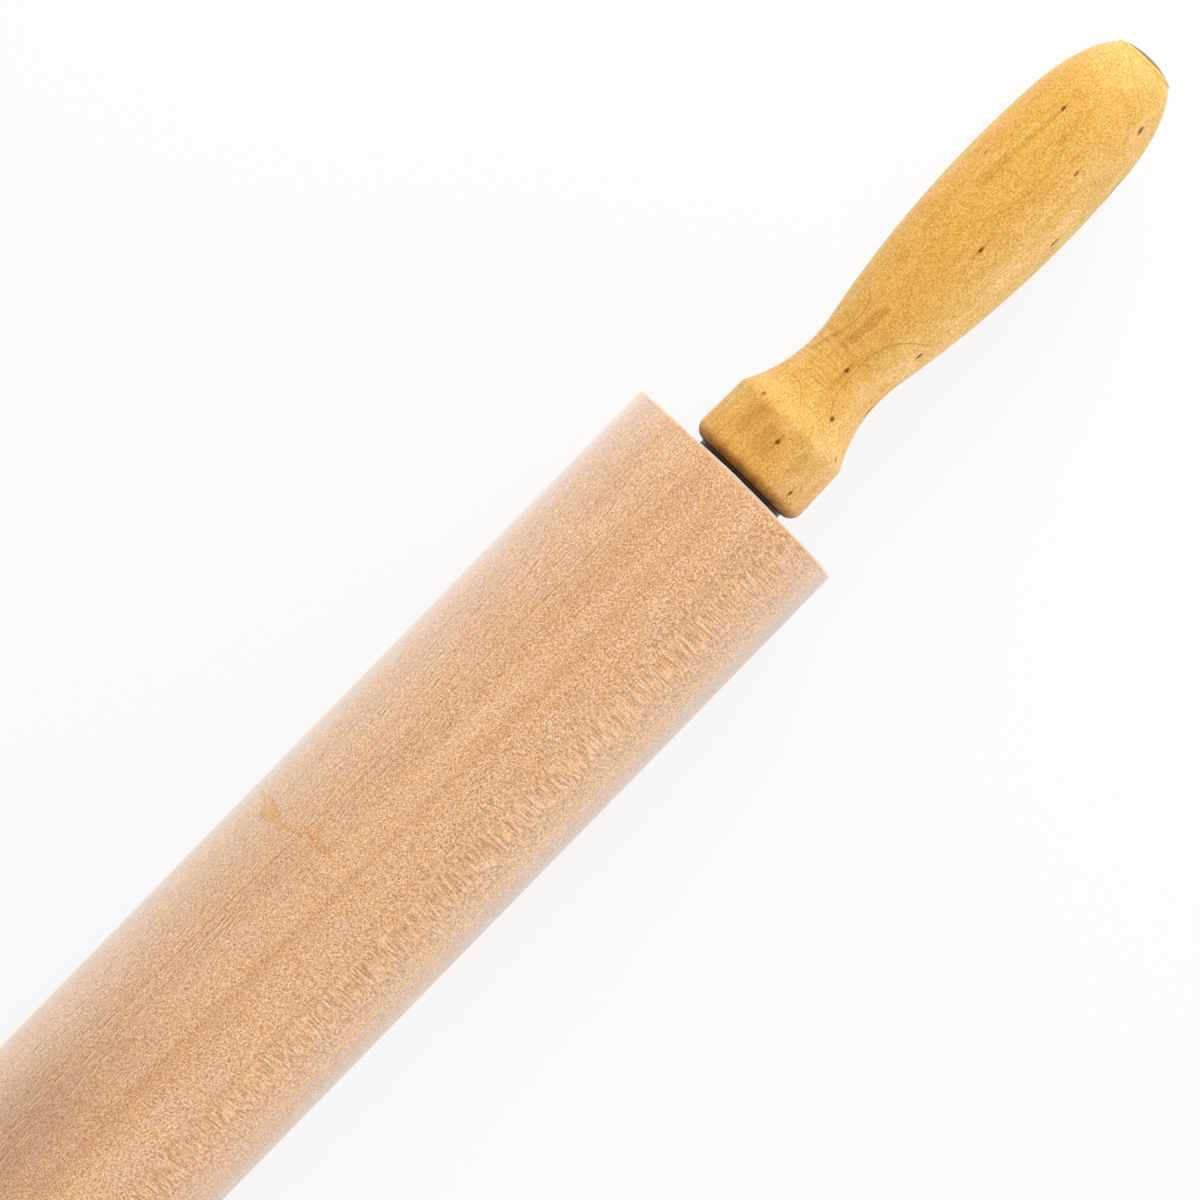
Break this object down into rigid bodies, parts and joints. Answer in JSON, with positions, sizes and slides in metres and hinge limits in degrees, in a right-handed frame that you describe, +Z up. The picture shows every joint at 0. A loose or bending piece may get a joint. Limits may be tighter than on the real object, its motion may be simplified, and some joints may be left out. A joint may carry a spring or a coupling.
{
  "type": "rolling pin",
  "caption": "Wooden rolling pin whose barrel turns on ball bearings around a through axle, with a turned handle clamped at each end.",
  "frame": {"origin": "centre of the barrel, on the axle's axis, midway between its two end faces", "axes": "+X along the axle towards the handle that the picture shows, +Z up when the pin lies on a table, so the table is at half the barrel's diameter below the origin"},
  "size_m": [0.5676, 0.06, 0.06],
  "materials": {
    "barrel_wood": "pale close-grained hardwood, sanded and left unvarnished, fine fleck and ripple along the grain",
    "handle_wood": "turned hardwood under a satin amber varnish, with small dark pin flecks",
    "plug_wood": "end-grain wooden plug under the same varnish, a little darker",
    "cover_steel": "bright turned steel",
    "dark_steel": "blackened steel, satin",
    "plated_steel": "zinc-plated steel",
    "axle_steel": "bright drawn steel bar",
    "bearing_steel": "ground bearing steel",
    "ball_steel": "polished bearing steel",
    "shield_steel": "pressed sheet steel",
    "cage_brass": "machined brass",
    "spring_steel": "dark spring steel"
  },
  "bodies": {
    "barrel": {"barrel": "barrel_wood", "bearing_outer_ring_left": "bearing_steel", "bearing_outer_ring_right": "bearing_steel", "bearing_inner_shield_left": "shield_steel", "bearing_inner_shield_right": "shield_steel", "bearing_outer_shield_left": "shield_steel", "bearing_outer_shield_right": "shield_steel"},
    "axle": {"axle_rod": "axle_steel", "bearing_inner_ring_left": "bearing_steel", "bearing_inner_ring_right": "bearing_steel", "retaining_ring_left": "spring_steel", "retaining_ring_right": "spring_steel", "shim_washer_left": "plated_steel", "shim_washer_right": "plated_steel", "cover_washer_left": "cover_steel", "cover_washer_right": "cover_steel", "seat_washer_left": "dark_steel", "seat_washer_right": "dark_steel", "handle_left": "handle_wood", "handle_right": "handle_wood", "nut_washer_left": "plated_steel", "nut_washer_right": "plated_steel", "handle_nut_left": "plated_steel", "handle_nut_right": "plated_steel", "end_plug_left": "plug_wood", "end_plug_right": "plug_wood"},
    "cage_left": {"bearing_cage_left": "cage_brass", "bearing_balls_left": "ball_steel"},
    "cage_right": {"bearing_cage_right": "cage_brass", "bearing_balls_right": "ball_steel"}
  },
  "joints": [
    {"name": "axle_spin", "type": "hinge", "parent": "barrel", "child": "axle", "pos_m": [0, 0, 0], "axis": [1, 0, 0], "continuous": true},
    {"name": "cage_left_spin", "type": "hinge", "parent": "barrel", "child": "cage_left", "pos_m": [-0.146, 0, 0], "axis": [1, 0, 0], "continuous": true},
    {"name": "cage_right_spin", "type": "hinge", "parent": "barrel", "child": "cage_right", "pos_m": [0.146, 0, 0], "axis": [1, 0, 0], "continuous": true}
  ],
  "couplings": [
    {"joint": "cage_left_spin", "follows": "axle_spin", "ratio": 0.3677},
    {"joint": "cage_right_spin", "follows": "axle_spin", "ratio": 0.3677}
  ]
}
